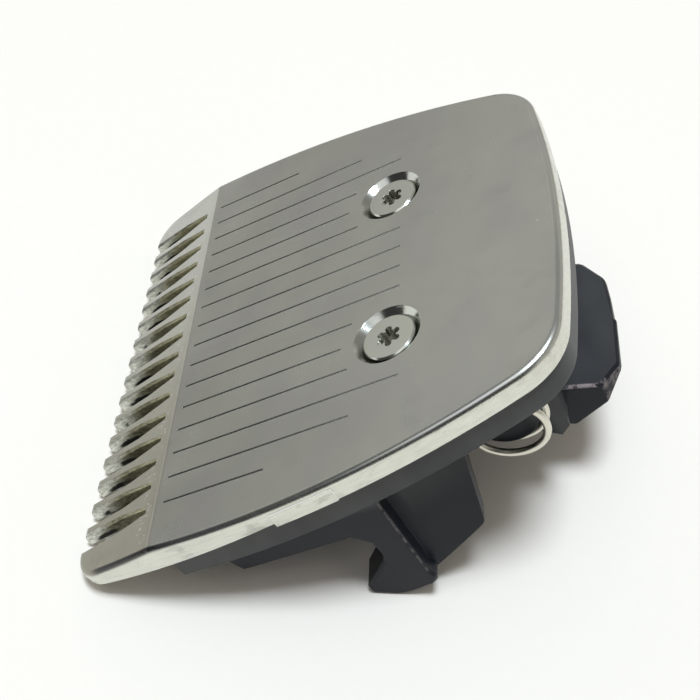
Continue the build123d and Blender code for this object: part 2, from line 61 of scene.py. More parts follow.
# The head's shape in blade coordinates: x across, y back from the tooth tips, z up from the flat top. Lengths
# are in millimetres, and a slope is the rise over one millimetre
SCREW_X = 8.2
SCREW_Y = 26.6
HEAD_TOP = -0.25
HEAD_RADIUS = 2.15
DIMPLE_RADIUS = 2.75
TOOTH_PITCH = 2.3
BEND_Y = 7.7
STRIP_ANGLE = radians(11)
LINE_DEPTH = 0.08
LINE_WIDTH = 0.18
PLATE_SIDE = 21.4
PLATE_REAR = 40.4
WIDEST_Y = 10.6
SIDE_RADIUS = 70.0
SIDE_START_Y = 2.1
REAR_RADIUS = 88.0
CORNER_X = 11.54
CORNER_Y = 34.19
CORNER_RADIUS = 5.4
RIM_RADIUS = 0.5
RIM_CROWN = 0.002
FLANGE_BOTTOM = -3.95
LEG_SIDE = 19.7
LEG_REAR = 24.0
LEG_TOP = -2.85
LEG_SLOPE = 0.059
LUG_SIDE = 7.1
LUG_CREST_Y = 34.2
LUG_CREST_Z = -11.7
LUG_SLOPE = 0.368
COIL_X = 11.6
COIL_Y = 32.3
COIL_Z = -7.63
ANCHOR_TOP = -4.01

# The springs' wire: half turns of a coil, where the arm's points lie along it, and the curve's settings
COIL_HALF_TURNS = 3
ARM_SHARES = (0.25, 0.6, 1.0)
WIRE_ROUNDNESS = 5
WIRE_SMOOTHNESS = 6
WIRE_ORDER = 3


class Grain(NamedTuple):
    """Noise of a finish: ridges per millimetre, layers of detail, their strength, and its stretch by axis."""

    scale: float
    detail: float = 2.0
    roughness: float = 0.5
    stretch: tuple = (1.0, 1.0, 1.0)


# Noise on the guard
CLOUD = Grain(0.16, 3.0, 0.6)
BLOT = Grain(0.42, 1.0, stretch=(1.0, 0.8, 1.0))
STAIN = Grain(0.13, stretch=(0.8, 1.0, 1.0))
SATIN = Grain(2.0, 3.0, 0.65, (0.5, 5.0, 5.0))
STREAK = Grain(0.9, 3.0, 0.6, (2.5, 0.25, 4.0))
SMEAR = Grain(0.75, 4.0, 0.65, (1.0, 0.45, 1.3))
CUT = Grain(4.2, 4.0, 0.7, (1.0, 0.5, 1.3))
# Noise of the painted shade in the slots near the tips
TIP_SHADE_GRAIN = Grain(0.9, stretch=(1.0, 0.35, 0.4))
SPECKS_PER_MM = 0.4

# Noise on the other pieces
RINGS = Grain(9.0, 3.0, 0.7)
RING_WANDER = 0.05
MOULD_TEXTURE = Grain(5.5, 3.0, 0.6)
MOULD_FLOW = Grain(0.35, stretch=(0.5, 1.0, 0.35))
MOULD_RUB = Grain(0.9, 4.0, 0.65)
CHIPS = Grain(1.6, 5.0, 0.75)
GRINDING = Grain(2.0, 3.0, 0.7, (0.3, 9.0, 3.0))
CUTTER_OIL = Grain(0.5)
DRAWN_WIRE = Grain(3.0, 4.0, 0.7)
DULL_WIRE = Grain(0.6)

# Noise on the floor, in ridges per metre
PAPER = Grain(900.0)

# Marks of the guard. Each pair gives where a mark has faded out and where it is full: places in millimetres,
# tilts as a part of the surface's direction, shares as a level of noise
RIM_TILT = (0.75, 0.25)
STRIP_EDGE = (BEND_Y + 0.3, BEND_Y - 0.3)
# Painted shade: the flat top darker to the near front
NEAR_FRONT_SHADE_SLOPE = 0.6
NEAR_FRONT_SHADE = (-8.0, 10.0)
BLOT_SHARE = (0.55, 0.85)
STAIN_SHARE = (0.42, 0.62)
SMEAR_SHARE = (0.52, 0.72)
SPECK_SHARE = (0.78, 0.8)
SPECK_EDGE = (0.034, 0.02)
# Painted shade: the oiled strip's share grows towards the near side
STRIP_SHADE_SIDE = (-22.0, 16.0)
STRIP_SHADE_WANDER = 8.0
SLOT_TILT = (0.35, 0.6)
SLOT_REAR = (BEND_Y - 0.6, BEND_Y - 1.0)
SLOT_SIDE = (18.7, 18.3)
# Painted shade deeper under the strip and painted light at the roots of the slot walls
SLOT_DEEP_SHADE = (0.25, 1.3)
SLOT_ROOT_LIGHT = (3.6, 5.6)
SLOT_FAR = (6.0, -14.0)
CUT_SHARE = (0.28, 0.72)
# Painted highlight on the slot walls near the tips
TIP_HIGHLIGHT_Y = (2.8, 0.8)
TIP_HIGHLIGHT_SHARE = (0.3, 0.7)
# Painted shade in the slots near the tips
TIP_SHADE_Y = 1.6
TIP_SHADE_DEPTH = (0.46, 0.6)
TIP_SHADE_SHARE = (0.42, 0.5)
TIP_SHADE_FRONT = (0.2, 0.8)
TIP_SHADE_REAR = (3.6, 2.4)
# Painted glints at the roots of the slots
ROOT_GLINT_FRONT = (5.6, 6.6)
ROOT_GLINT_REAR = (7.4, 6.9)
ROOT_GLINT_SHARE = (0.57, 0.66)
LINE_TOP = (-0.3 * LINE_DEPTH, -0.8 * LINE_DEPTH)
LINE_BOTTOM = (-1.6 * LINE_DEPTH, -1.3 * LINE_DEPTH)
LINE_EDGE = (0.7 * LINE_WIDTH, 0.55 * LINE_WIDTH)
LINES_FRONT = (BEND_Y + 0.5, BEND_Y + 0.6)
LINES_REAR = (28.2, 28.0)
LINES_SIDE = (17.6, 17.4)
LINES_PALE = (13.0, 27.5)
DIMPLE_EDGE = (DIMPLE_RADIUS + 0.06, DIMPLE_RADIUS - 0.02)
# Painted shade and dark reflections: arcs darkened in the screw dimples
DIMPLE_SHADE_EDGE = (DIMPLE_RADIUS - 0.05, HEAD_RADIUS + 0.25)
DIMPLE_SHADE_REAR_WAY = (0.35, 0.94)
DIMPLE_SHADE_REAR = (0.55, 0.85)
DIMPLE_SHADE_FRONT_WAY = (0.75, -0.66)
DIMPLE_SHADE_FRONT = (0.45, 0.85)
# Painted highlight: the tab ledges are pale and hardly metallic, so that they show bright
TAB_LEDGE = (0.0, -0.006)
TAB_TILT = (0.8, 0.7)
TAB_FRONT = (15.0, 16.0)
TAB_REAR = (29.0, 28.0)
# Painted reflection: a dark line along the near rim of the strip
RIM_REFLECTION_OUTER = (0.0, 0.12)
RIM_REFLECTION_INNER = (0.5, 0.36)
RIM_REFLECTION_FRONT = (1.2, 2.6)
RIM_REFLECTION_REAR = (11.0, 7.0)
RIM_REFLECTION_NEAR = (0.0, 1.0)

# Marks of the screws and the holder, in pairs as above
# Painted shade in the star sockets
SOCKET_SHADE_DEPTH = (HEAD_TOP - 0.1, HEAD_TOP - 0.45)
SOCKET_SHADE_EDGE = (1.25, 1.1)
RUB_SHARE = (0.6, 0.8)
# Painted sheen: lighter grey on the flange, wings, ribs and lug top
SHEEN_SIDE = (16.0, 18.0)
SHEEN_REAR = (32.0, 36.0)
SHEEN_FLANGE = (FLANGE_BOTTOM - 0.9, FLANGE_BOTTOM + 0.3)
SHEEN_LUG_TILT = (0.5, 0.85)
SHEEN_LUG_FRONT = (32.0, 34.0)
SHEEN_WING_Z = (-9.0, -5.0)
SHEEN_WING_FRONT = (24.4, 25.0)
SHEEN_RIB_FRONT = (33.5, 34.5)
SHEEN_RIB_INNER = (7.4, 7.8)
SHEEN_RIB_TOP = (-3.5, -4.5)
# Pale colour along the legs' rear edges and the lug's edges and corner facets
LEG_EDGE = (0.2, 0.06)
LEG_EDGE_LOW = (-13.2, -12.8)
LEG_EDGE_HIGH = (-3.9, -4.4)
LEG_CHIPS = (0.4, 0.55)
LUG_EDGE = (0.28, 0.1)
LUG_EDGE_FRONT = (33.8, 34.2)
LUG_EDGE_REAR = (38.4, 38.0)
LUG_CHIPS = (0.42, 0.56)
LUG_CORNER_TILT = (0.35, 0.45)
LUG_CORNER_FRONT = (36.0, 36.2)
LUG_CORNER_SIDE = (LUG_SIDE + 0.3, LUG_SIDE + 0.2)
LUG_CORNER_CHIPS = (0.45, 0.62)

# The studio, in metres: the floor's half width and the nearest distance that the camera shows
FLOOR_HALF = 3.0
NEAREST = 0.005

# The studio's walls by height, from 0 at the floor's level to 1 straight up, and the ways to its dark side
# and its two window panes
SWEEP_TOP = 0.07
WALL_FOOT = 0.16
WALL_TOP = 0.22
CORNICE_HEIGHT = 0.45
CEILING_EDGE = 0.75
DARK_WAY = (0.78, -0.52, 0.36)
DARK_EDGE = (0.2, 0.62)
PANE_WAYS = ((0.34, -0.30, 0.89), (0.02, -0.15, 0.99))
PANE_EDGE = (0.90, 0.975)


def blade_matrix():
    """Blade coordinates in the row frame: the guard's largest flat gives the tilt, its screws the place."""
    flats = {}
    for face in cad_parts["guard_plate"].data.polygons:
        key = tuple(round(n, 3) for n in face.normal)
        area, point = flats.get(key, (0.0, None))
        flats[key] = (area + face.area, point or face.center.copy())
    facing = max(flats, key=lambda key: flats[key][0] if key[2] > 0 else 0.0)
    up = Vector(facing).normalized()
    across = Vector((1, 0, 0))
    back = up.cross(across)
    corners = [corner.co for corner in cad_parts["guard_screws"].data.vertices]
    top = max(corner.dot(up) for corner in corners)
    rims = [corner for corner in corners if top - corner.dot(up) < HEAD_FLATNESS]
    low, high = (Vector(pick(axis) for axis in zip(*rims)) for pick in (min, max))
    screws = (low + high) / 2
    on_top = screws - up * (screws - flats[facing][1]).dot(up)
    origin = on_top - back * SCREW_Y * MM
    matrix = Matrix((across, back, up)).transposed().to_4x4()
    matrix.translation = origin
    return matrix


BLADE = blade_matrix()


def blade_point(x, y, z):
    """A place given in blade millimetres, in the row frame."""
    return BLADE @ (Vector((x, y, z)) * MM)


class Wire:
    """A shader socket that takes part in Python sums: each operator adds its Math node."""

    def __init__(self, finish, socket):
        self.finish = finish
        self.socket = socket

    def math(self, operation, *values):
        return self.finish.node("ShaderNodeMath", {"operation": operation}, dict(enumerate(values)))

    def output(self, name):
        return Wire(self.finish, self.socket.node.outputs[name])

    def __add__(self, other):
        return self.math("ADD", self, other)

    def __radd__(self, other):
        return self.math("ADD", other, self)

    def __sub__(self, other):
        return self.math("SUBTRACT", self, other)

    def __rsub__(self, other):
        return self.math("SUBTRACT", other, self)

    def __mul__(self, other):
        return self.math("MULTIPLY", self, other)

    def __rmul__(self, other):
        return self.math("MULTIPLY", other, self)

    def __truediv__(self, other):
        return self.math("DIVIDE", self, other)

    def __pow__(self, other):
        return self.math("POWER", self, other)

    def __abs__(self):
        return self.math("ABSOLUTE", self)


class Finish:
    """The node tree of one material, of the world or of a modifier."""

    def __init__(self, tree):
        self.tree = tree
        tree.nodes.clear()

    def node(self, kind, settings=None, sockets=None, output=0):
        """Add a node, set it up, feed its sockets with values or wires, and give back one of its outputs."""
        made = self.tree.nodes.new(kind)
        for name, value in (settings or {}).items():
            if name == "stops":
                self.set_stops(made.color_ramp, value)
            else:
                setattr(made, name, value)
        for name, value in (sockets or {}).items():
            if isinstance(value, Wire):
                self.tree.links.new(value.socket, made.inputs[name])
            else:
                made.inputs[name].default_value = value
        return Wire(self, made.outputs[output]) if made.outputs else made

    def set_stops(self, ramp, stops):
        """Give a colour ramp its stops, each a place and a grey level."""
        while len(ramp.elements) < len(stops):
            ramp.elements.new(1.0)
        for element, (place, level) in zip(ramp.elements, stops):
            element.position = place
            element.color = opaque(grey(level))

    def blade_place(self):
        """Blade coordinates of the shaded point, in millimetres."""
        sockets = {
            "Vector": self.node("ShaderNodeTexCoord", output="Object"),
            "Location": BLADE.translation,
            "Rotation": BLADE.to_euler(),
            "Scale": (MM, MM, MM),
        }
        return self.node("ShaderNodeMapping", {"vector_type": "TEXTURE"}, sockets)

    def facing(self):
        """The surface's direction in blade coordinates."""
        sockets = {
            "Vector": self.node("ShaderNodeNewGeometry", output="Normal"),
            "Rotation": BLADE.to_euler(),
        }
        return self.node("ShaderNodeMapping", {"vector_type": "TEXTURE"}, sockets)

    def split(self, vector):
        """The three parts of a vector."""
        first = self.node("ShaderNodeSeparateXYZ", sockets={"Vector": vector})
        return first, first.output("Y"), first.output("Z")

    def times(self, first, second):
        """Two vectors or colours multiplied part by part."""
        return self.node("ShaderNodeVectorMath", {"operation": "MULTIPLY"}, {0: first, 1: second})

    def dot(self, first, second):
        """How far two directions agree: 1 where they are the same."""
        settings = {"operation": "DOT_PRODUCT"}
        return self.node("ShaderNodeVectorMath", settings, {0: first, 1: second}, output="Value")

    def length(self, first, second):
        """The length of two parts at a right angle."""
        return (first * first + second * second) ** 0.5

    def noise(self, place, grain):
        """Noise between 0 and 1."""
        sockets = {
            "Vector": self.times(place, grain.stretch),
            "Scale": grain.scale,
            "Detail": grain.detail,
            "Roughness": grain.roughness,
        }
        return self.node("ShaderNodeTexNoise", None, sockets)

    def step(self, value, ends):
        """0 up to the first end, 1 from the second, smooth between. The second end may be the lower one."""
        low, high = sorted(ends)
        settings = {"interpolation_type": "SMOOTHSTEP"}
        rise = self.node("ShaderNodeMapRange", settings, {"Value": value, "From Min": low, "From Max": high})
        return rise if ends[0] < ends[1] else 1 - rise

    def clamp(self, value):
        """A value held between 0 and 1."""
        return self.node("ShaderNodeClamp", None, {"Value": value})

    def mix(self, mask, first, second):
        """First colour where the mask is 0, second where it is 1."""
        sockets = {"Factor": mask, 6: opaque(first), 7: opaque(second)}
        return self.node("ShaderNodeMix", {"data_type": "RGBA"}, sockets, output=2)

    def tone(self, colour, level):
        """A colour made lighter or darker by a wire."""
        return self.node("ShaderNodeVectorMath", {"operation": "SCALE"}, {0: colour, "Scale": level})

    def broken_edges(self, radius):
        """A normal that rounds sharp edges off."""
        return self.node("ShaderNodeBevel", {"samples": EDGE_SAMPLES}, {"Radius": radius})

    def rough_face(self, height, depth, **normal):
        """A normal with a relief of a given depth, on the surface's own normal or on the one given."""
        sockets = {"Height": height, "Distance": depth}
        sockets.update(named(normal))
        return self.node("ShaderNodeBump", None, sockets)

    def principled(self, **sockets):
        """The Principled shader."""
        return self.node("ShaderNodeBsdfPrincipled", None, named(sockets))

    def surface(self, shader):
        """The material's output."""
        self.node("ShaderNodeOutputMaterial", None, {"Surface": shader})


def named(sockets):
    """Values by socket, with the sockets' names as Blender writes them."""
    titles = {name: name.replace("_", " ").title().replace("Ior", "IOR") for name in sockets}
    return {titles[name]: value for name, value in sockets.items()}


def grey(level):
    """A colour with all its parts the same."""
    return (level, level, level)


def opaque(colour):
    """A colour with full alpha, or a wire as it is."""
    return colour if isinstance(colour, Wire) else (*colour, 1.0)


def new_finish(name, kind=Finish):
    """A new material and its empty node tree."""
    material = bpy.data.materials.new(name)
    material.use_nodes = True
    return material, kind(material.node_tree)


def shading_steps():
    """Steps that join a mesh's faces and shade them smooth up to its sharp edges."""
    steps = bpy.data.node_groups.new("even_shading", "GeometryNodeTree")
    for way in ("INPUT", "OUTPUT"):
        steps.interface.new_socket("Mesh", in_out=way, socket_type="NodeSocketGeometry")
    build = Finish(steps)
    sockets = {"Geometry": build.node("NodeGroupInput"), "Distance": JOIN_DISTANCE}
    joined = build.node("GeometryNodeMergeByDistance", None, sockets)
    angle = build.node("GeometryNodeInputMeshEdgeAngle", output="Unsigned Angle")
    sharp = build.node("FunctionNodeCompare", {"operation": "GREATER_THAN"}, {0: angle, 1: SHARP_ANGLE})
    sockets = {"Mesh": joined, "Remove Custom": True, "Edge Sharpness": sharp, "Face Sharpness": False}
    shaded = build.node("GeometryNodeSetMeshNormal", {"mode": "SHARPNESS"}, sockets)
    build.node("NodeGroupOutput", None, {"Mesh": shaded})
    return steps


def put_on(piece, material):
    """Give a piece one material, and normals that follow its large faces."""
    piece.data.materials.clear()
    piece.data.materials.append(material)
    shading = piece.modifiers.new("even_shading", "NODES")
    shading.node_group = bpy.data.node_groups.get("even_shading") or shading_steps()
    normals = piece.modifiers.new("face_normals", "WEIGHTED_NORMAL")
    normals.mode = "FACE_AREA_WITH_ANGLE"
    normals.keep_sharp = True


def colour_setting(name, description, default):
    return FloatVectorProperty(
        name=name, description=description, default=default, subtype="COLOR", size=3, min=0.0, max=1.0
    )


def factor_setting(name, description, default):
    return FloatProperty(
        name=name, description=description, default=default, subtype="FACTOR", min=0.0, max=1.0
    )


def length_setting(name, description, default):
    return FloatProperty(
        name=name, description=description, default=default, unit="LENGTH", min=0.0, precision=5
    )


def place_setting(name, description, default):
    return FloatVectorProperty(
        name=name, description=description, default=default, subtype="XYZ", unit="LENGTH"
    )


def count_setting(name, description, default):
    return IntProperty(name=name, description=description, default=default, min=4, max=64)


class GuardSettings(bpy.types.PropertyGroup):
    """Finish of the pressed steel guard."""

    steel: colour_setting("Steel", "Satin steel of the flat top", (0.585, 0.605, 0.57))
    clean: colour_setting("Clean tint", "Tint of the flat top between stains", (1.0, 1.0, 0.98))
    stain: colour_setting("Stain tint", "Tint of the flat top's faint stains", (0.965, 0.95, 0.98))
    strip: colour_setting("Oiled strip", "Steel of the toothed strip under its oil", (0.32, 0.31, 0.26))
    wall: colour_setting("Rim wall", "Smoother steel round the rim's wall", (0.668, 0.673, 0.606))
    # Partly the oil film, partly painted shade: the slot walls are kept dark for the shade and the dark gap
    # under the teeth
    slot: colour_setting("Slot wall", "Cut walls of the slots, with a film of oil", (0.27, 0.26, 0.18))
    # Painted shade in the slots near the tips
    pool: colour_setting("Oil pool", "Dark oil on the slot walls near the tips", (0.012, 0.012, 0.010))
    # Painted glints at the slots' roots
    root_glint: colour_setting("Burr", "Bright specks at the slots' roots", (0.92, 0.91, 0.86))
    line: colour_setting("Lines", "Floor of the engraved lines", (0.20, 0.20, 0.185))
    # Painted shade and dark reflections in the screw dimples
    dimple_shade: colour_setting("Grime", "Dirt in the screw dimples", (0.07, 0.07, 0.055))
    # Painted reflection: a dark line along the strip's near edge
    seam: colour_setting("Seam", "Dark line along the strip's near edge", (0.07, 0.07, 0.08))
    # Painted highlight: the tab ledges are pale and hardly metallic, so that they show bright
    tab_highlight: colour_setting("Tab", "Bright ledge of the tabs in the side walls", (0.90, 0.87, 0.78))
    roughness: factor_setting("Roughness", "Roughness of the satin top", 0.25)
    edge: length_setting("Edge", "Radius of the broken edges", 0.00005)
    relief: length_setting("Relief", "Depth of the satin grain", 0.000006)
    rim_step: length_setting("Rim step", "Length of one piece of the rounded rim", 0.0006)
    rim_steps: count_setting("Rim steps", "Steps across the rounded rim", 12)


class ScrewSettings(bpy.types.PropertyGroup):
    """Finish of the two screws."""

    nickel: colour_setting("Nickel", "Plated heads", (0.73, 0.76, 0.70))
    # Painted shade: the sockets' floors darker than the heads
    socket: colour_setting("Socket", "Darker floor of the star sockets", (0.40, 0.39, 0.33))
    roughness: factor_setting("Roughness", "Roughness of the heads", 0.16)
    edge: length_setting("Edge", "Radius of the broken edges", 0.00005)
    relief: length_setting("Relief", "Depth of the turning marks", 0.000004)


class HolderSettings(bpy.types.PropertyGroup):
    """Finish of the moulded holder and the drive bridge."""

    plastic: colour_setting("Plastic", "Black moulded plastic", (0.0055, 0.0066, 0.0115))
    # Painted sheen on the flange, wings, ribs and lug top
    dust: colour_setting("Dust", "Fine dust on the flange and the ribs", (0.105, 0.108, 0.104))
    # Pale colour on the legs' rear edges and the lug's edges and corner facets
    pale_edges: colour_setting("Wear", "Rubbed edges", (0.30, 0.25, 0.24))
    bridge: colour_setting("Bridge", "Dark grey moulded plastic of the drive bridge", (0.022, 0.022, 0.024))
    roughness: factor_setting("Roughness", "Roughness of the moulded faces", 0.4)
    gloss: factor_setting("Gloss", "Specular level of the plastic", 0.22)
    edge: length_setting("Edge", "Radius of the moulded edges", 0.00014)
    texture: length_setting("Texture", "Depth of the mould's fine texture", 0.000004)


class CutterSettings(bpy.types.PropertyGroup):
    """Finish of the moving cutter."""

    steel: colour_setting("Steel", "Ground steel of the cutter", (0.46, 0.45, 0.41))
    roughness: factor_setting("Roughness", "Roughness across the grinding", 0.34)
    edge: length_setting("Edge", "Radius of the broken edges", 0.00003)
    relief: length_setting("Relief", "Depth of the grinding marks", 0.000005)


class SpringSettings(bpy.types.PropertyGroup):
    """Size and finish of the torsion springs."""

    wire: length_setting("Wire", "Diameter of the wire", 0.0006)
    radius: length_setting("Coil radius", "Radius of the coil's middle line", 0.0029)
    pitch: length_setting("Pitch", "Sideways step of one turn", 0.0015)
    arm: length_setting("Arm", "Length of the arm that presses the bridge", 0.0185)
    steel: colour_setting("Steel", "Bright drawn wire", (0.68, 0.66, 0.57))
    roughness: factor_setting("Roughness", "Roughness between the scratches", 0.24)
    relief: length_setting("Relief", "Depth of the scratches", 0.000003)
    points: count_setting("Points", "Points along each half turn", 12)


class StageSettings(bpy.types.PropertyGroup):
    """Floor, light and camera."""

    floor: colour_setting("Floor", "Pale floor", (0.95, 0.895, 0.80))
    glow: factor_setting("Glow", "Share of plain white in the floor, as seen", 0.02)
    horizon: factor_setting("Horizon", "Level of the white sweep just above the floor", 0.66)
    walls: factor_setting("Walls", "Level of the studio walls near the floor", 0.33)
    cornice: factor_setting("Cornice", "Level of the studio walls half way up", 0.60)
    ceiling: factor_setting("Ceiling", "Level of the studio ceiling", 0.29)
    tint: colour_setting("Room tint", "Warm tint of the studio walls", (1.0, 0.97, 0.92))
    dark: factor_setting("Dark side", "Level of the dark side of the studio", 0.05)
    window: factor_setting("Window", "Level of the two soft window panes", 1.0)
    key_place: place_setting("Key place", "Where the soft key lamp hangs", (0.09, 0.0, 1.2))
    key_size: length_setting("Key size", "Width of the key lamp", 0.36)
    key_tint: colour_setting("Key tint", "Cool tint of the key lamp", (0.785, 0.88, 1.0))
    key_power: FloatProperty(
        name="Key power", description="Power of the key lamp", default=12.0, unit="POWER", min=0.0
    )
    camera_place: place_setting("Camera place", "Where the camera stands", (0.0662, 0.001077, 0.07283))
    camera_aim: place_setting("Camera aim", "Middle of the picture", (0.00068, -0.000833, 0.00672))
    camera_roll: FloatProperty(
        name="Roll", description="Camera roll", default=radians(0.94), subtype="ANGLE"
    )
    lens: FloatProperty(
        name="Lens", description="Focal length", default=57.7, subtype="DISTANCE_CAMERA", min=1.0
    )


class GuardFinish(Finish):
    """Satin steel of the guard plate, with its noise and the shaded point's place at hand."""

    def __init__(self, tree):
        super().__init__(tree)
        self.place = self.blade_place()
        self.x, self.y, self.z = self.split(self.place)
        self.side, _, self.up = self.split(self.facing())
        self.cloud = self.noise(self.place, CLOUD)
        self.blot = self.step(self.noise(self.place, BLOT), BLOT_SHARE)
        self.satin = self.noise(self.place, SATIN)
        self.streak = self.noise(self.place, STREAK)
        self.cut = self.noise(self.place, CUT)

    def specks(self):
        """A few bright specks of dust."""
        sockets = {"Vector": self.place, "Scale": SPECKS_PER_MM}
        dust = self.node("ShaderNodeTexVoronoi", None, sockets, output="Distance")
        few = self.step(self.split(dust.output("Color"))[0], SPECK_SHARE)
        return few * self.step(dust, SPECK_EDGE)

    def flat_top(self, look):
        """Stained satin steel with painted shade darker to the near front, and the oiled strip's colour on
        the toothed strip, its share growing towards the near side as painted shade.
        """
        # Painted shade, darker to the near front
        near_front_shade = self.step(self.x - NEAR_FRONT_SHADE_SLOPE * self.y, NEAR_FRONT_SHADE)
        level = 0.9 + 0.16 * self.cloud - 0.06 * self.blot + 0.06 * self.satin
        level = level + 0.5 * self.specks() - 0.08 * near_front_shade
        stain = self.step(self.noise(self.place, STAIN), STAIN_SHARE)
        steel = self.times(self.tone(look.steel, level), self.mix(stain, look.clean, look.stain))
        # Partly the strip's oil, partly painted shade growing towards the near side
        film = 0.22 + 0.78 * self.step(self.x + STRIP_SHADE_WANDER * (self.cloud - 0.5), STRIP_SHADE_SIDE)
        film = film * self.step(self.y, STRIP_EDGE)
        return self.mix(film, steel, self.tone(look.strip, level))

    def rim_wall(self, look):
        """Bright, streaky steel with dull smears."""
        smear = self.step(self.noise(self.place, SMEAR), SMEAR_SHARE)
        return self.tone(look.wall, 0.8 + 0.4 * self.streak - 0.3 * smear)

    def slots(self):
        """The cut walls between the teeth."""
        slot = self.step(self.y, SLOT_REAR) * self.step(abs(self.side), SLOT_TILT)
        return slot * self.step(abs(self.x), SLOT_SIDE)

    def slot_walls(self, look):
        """Oily cut steel with painted shade deeper under the strip, painted light at the roots, lighter on
        the far side, painted highlights at the tips and painted shade near the tips.
        """
        under_strip = (BEND_Y - self.y) * -tan(STRIP_ANGLE) - self.z
        # Painted shade deeper under the strip, and painted light at the roots
        level = 0.5 + 1.1 * self.step(self.cut, CUT_SHARE) - 0.25 * self.step(under_strip, SLOT_DEEP_SHADE)
        level = level + 0.45 * self.step(self.y, SLOT_ROOT_LIGHT) + 0.5 * self.step(self.x, SLOT_FAR)
        walls = self.tone(look.slot, level)
        # Painted highlight: brighter rim-wall steel near the tips
        bright = self.tone(look.wall, 0.55 + 0.65 * self.step(self.cut, TIP_HIGHLIGHT_SHARE))
        walls = self.mix(self.step(self.y, TIP_HIGHLIGHT_Y), walls, bright)
        # Painted shade in the slots near the tips
        pool = under_strip + 0.5 * (self.cut - 0.5) - 0.16 * abs(self.y - TIP_SHADE_Y)
        pool = self.step(pool, TIP_SHADE_DEPTH) * self.step(self.noise(self.place, TIP_SHADE_GRAIN), TIP_SHADE_SHARE)
        pool = pool * self.step(self.y, TIP_SHADE_REAR) * self.step(self.y, TIP_SHADE_FRONT)
        return self.mix(pool, walls, look.pool)

    def root_glints(self):
        """Painted glints along the roots of the slots."""
        root_glint = self.step(self.y, ROOT_GLINT_FRONT) * self.step(self.y, ROOT_GLINT_REAR)
        return root_glint * self.step(self.cut, ROOT_GLINT_SHARE)

    def lines(self):
        """The floor of the engraved lines."""
        pingpong = self.node("ShaderNodeMath", {"operation": "PINGPONG"}, {0: self.x, 1: TOOTH_PITCH / 2})
        from_line = abs(pingpong - TOOTH_PITCH / 2)
        line = self.step(self.z, LINE_TOP) * self.step(self.z, LINE_BOTTOM)
        line = line * self.step(self.y, LINES_FRONT) * self.step(self.y, LINES_REAR)
        return line * self.step(abs(self.x), LINES_SIDE) * self.step(from_line, LINE_EDGE)

    def dimples(self):
        """The screw dimples, and the arcs of painted shade and dark reflection in them to the rear and the
        front of each screw.
        """
        across = self.x - SCREW_X * self.node("ShaderNodeMath", {"operation": "SIGN"}, {0: self.x})
        along = self.y - SCREW_Y
        from_screw = self.length(across, along)
        rear_x, rear_y = DIMPLE_SHADE_REAR_WAY
        front_x, front_y = DIMPLE_SHADE_FRONT_WAY
        rear = self.step((rear_x * across + rear_y * along) / from_screw, DIMPLE_SHADE_REAR)
        front = self.step((front_x * across + front_y * along) / from_screw, DIMPLE_SHADE_FRONT)
        dimple = self.step(from_screw, DIMPLE_EDGE)
        dimple_shade = dimple * (rear + front) * self.step(from_screw, DIMPLE_SHADE_EDGE)
        return dimple, dimple_shade

    def inside_edge(self):
        """How far the point lies inside the plate's side edge, in millimetres."""
        side_x = abs(self.x) + SIDE_RADIUS - PLATE_SIDE
        return SIDE_RADIUS - self.length(side_x, self.y - WIDEST_Y)

    def tabs(self):
        """The ledges of the tabs, which stand out of the side walls."""
        tab_highlight = self.step(self.inside_edge(), TAB_LEDGE) * self.step(abs(self.side), TAB_TILT)
        return tab_highlight * self.step(self.y, TAB_FRONT) * self.step(self.y, TAB_REAR)

    def seam(self):
        """The painted reflection: a dark line along the strip's near edge."""
        inside = self.inside_edge()
        seam = self.step(inside, RIM_REFLECTION_OUTER) * self.step(inside, RIM_REFLECTION_INNER)
        seam = seam * self.step(self.y, RIM_REFLECTION_REAR) * self.step(self.y, RIM_REFLECTION_FRONT)
        return seam * self.step(self.x, RIM_REFLECTION_NEAR)


def arc_points(middle_x, middle_y, radius, start, end, step):
    """Points along an arc and their ways out of its middle, with angles from the x axis towards the rear."""
    count = max(2, round(abs(end - start) * radius / step))
    points = []
    for i in range(count):
        turn = start + (end - start) * i / count
        points.append((middle_x + radius * cos(turn), middle_y + radius * sin(turn), cos(turn), sin(turn)))
    return points


def rim_path(step):
    """The guard's outline in blade coordinates from the right front corner round the rear to the left one."""
    side_middle = PLATE_SIDE - SIDE_RADIUS
    rear_middle = PLATE_REAR - REAR_RADIUS
    to_side = atan2(CORNER_Y - WIDEST_Y, CORNER_X - side_middle)
    to_rear = atan2(CORNER_Y - rear_middle, CORNER_X)
    from_front = asin((SIDE_START_Y - WIDEST_Y) / SIDE_RADIUS)
    half = arc_points(side_middle, WIDEST_Y, SIDE_RADIUS, from_front, to_side, step)
    half += arc_points(CORNER_X, CORNER_Y, CORNER_RADIUS, to_side, to_rear, step / 2)
    half += arc_points(0.0, rear_middle, REAR_RADIUS, to_rear, pi / 2, step)
    other = [(-x, y, -out_x, out_y) for x, y, out_x, out_y in reversed(half)]
    return half + [(0.0, PLATE_REAR, 0.0, 1.0)] + other


def rim_section(x, y, out_x, out_y, steps):
    """Points across the rounded rim at one place of the outline: flat top to wall, then the inner corner."""
    points = []
    for i in range(steps + 1):
        turn = pi / 2 * i / steps
        radius = RIM_RADIUS + RIM_CROWN * sin(2 * turn)
        inside = RIM_RADIUS - radius * sin(turn)
        depth = RIM_RADIUS - radius * cos(turn)
        points.append((inside, depth))
    points.append((RIM_RADIUS, RIM_RADIUS))
    section = []
    for inside, depth in points:
        back = y - inside * out_y
        drop = max(BEND_Y - back, 0.0) * tan(STRIP_ANGLE)
        tilt = cos(STRIP_ANGLE) if back < BEND_Y else 1.0
        section.append(blade_point(x - inside * out_x, back, -drop - depth / tilt))
    return section


